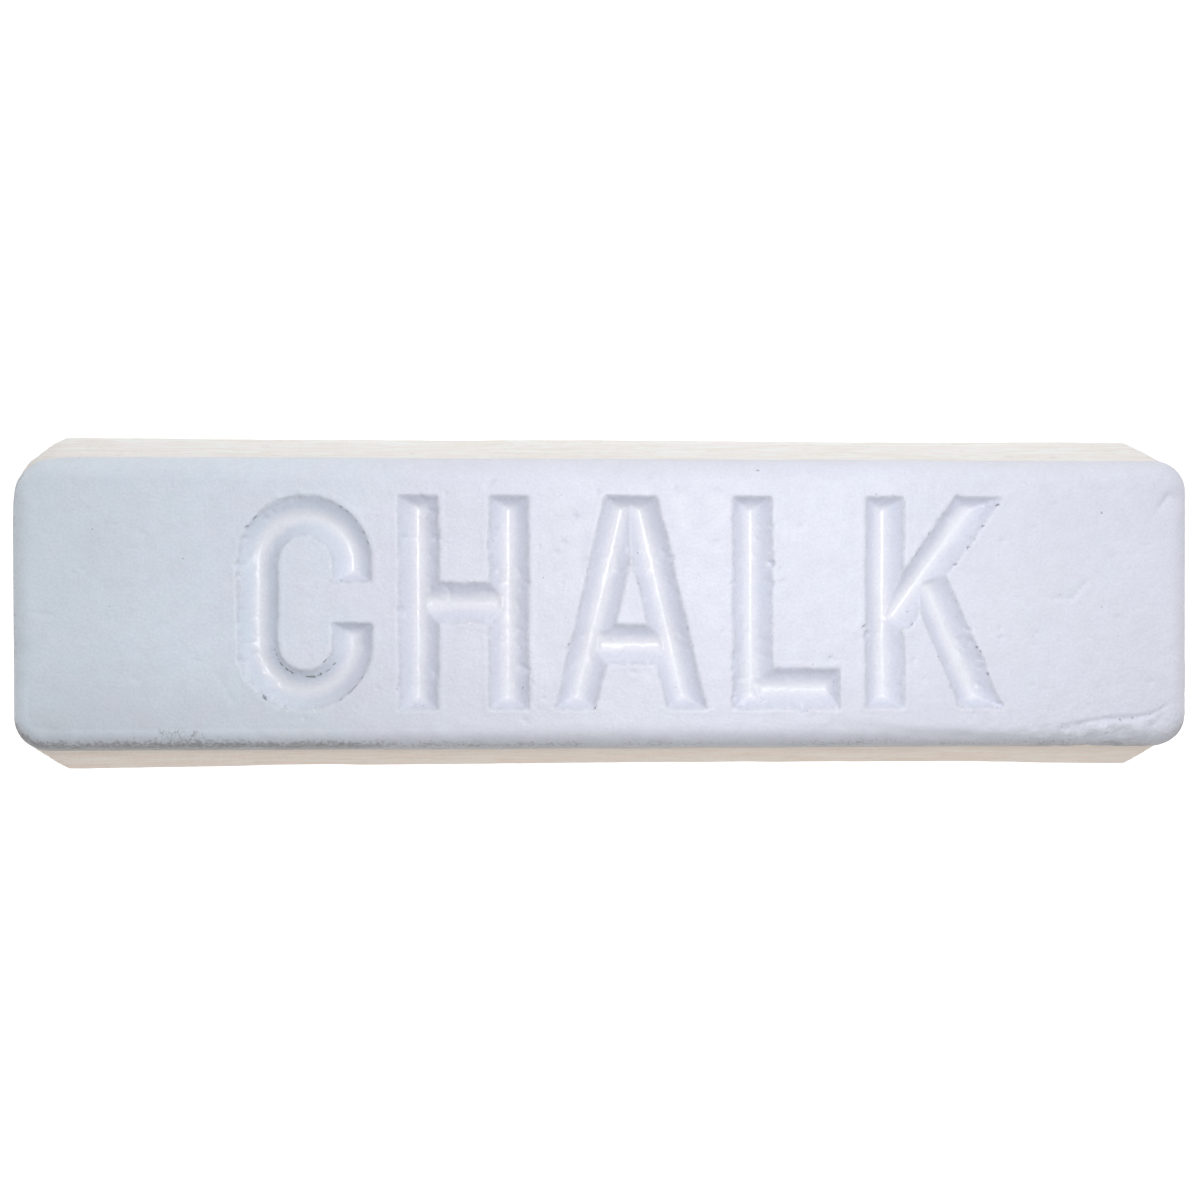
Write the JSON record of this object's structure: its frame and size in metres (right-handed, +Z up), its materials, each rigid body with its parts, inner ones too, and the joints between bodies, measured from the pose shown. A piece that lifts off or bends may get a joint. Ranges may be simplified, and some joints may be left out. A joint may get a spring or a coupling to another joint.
{
  "type": "gymnastics chalk block",
  "caption": "Long cast bar of grip chalk with drafted walls, soft edges and a word sunk in its top face; rubbed on the hands to dry them.",
  "frame": {"origin": "middle of the flat base, on the surface the bar rests on", "axes": "+X along the bar in reading direction, +Y across it towards the tops of the letters, +Z up, out of the lettered face"},
  "size_m": [0.2166, 0.0646, 0.04],
  "materials": {
    "chalk": "smooth cast chalk, faintly satin face, creamier streaked walls"
  },
  "bodies": {
    "root": {"chalk_block": "chalk"}
  },
  "joints": []
}
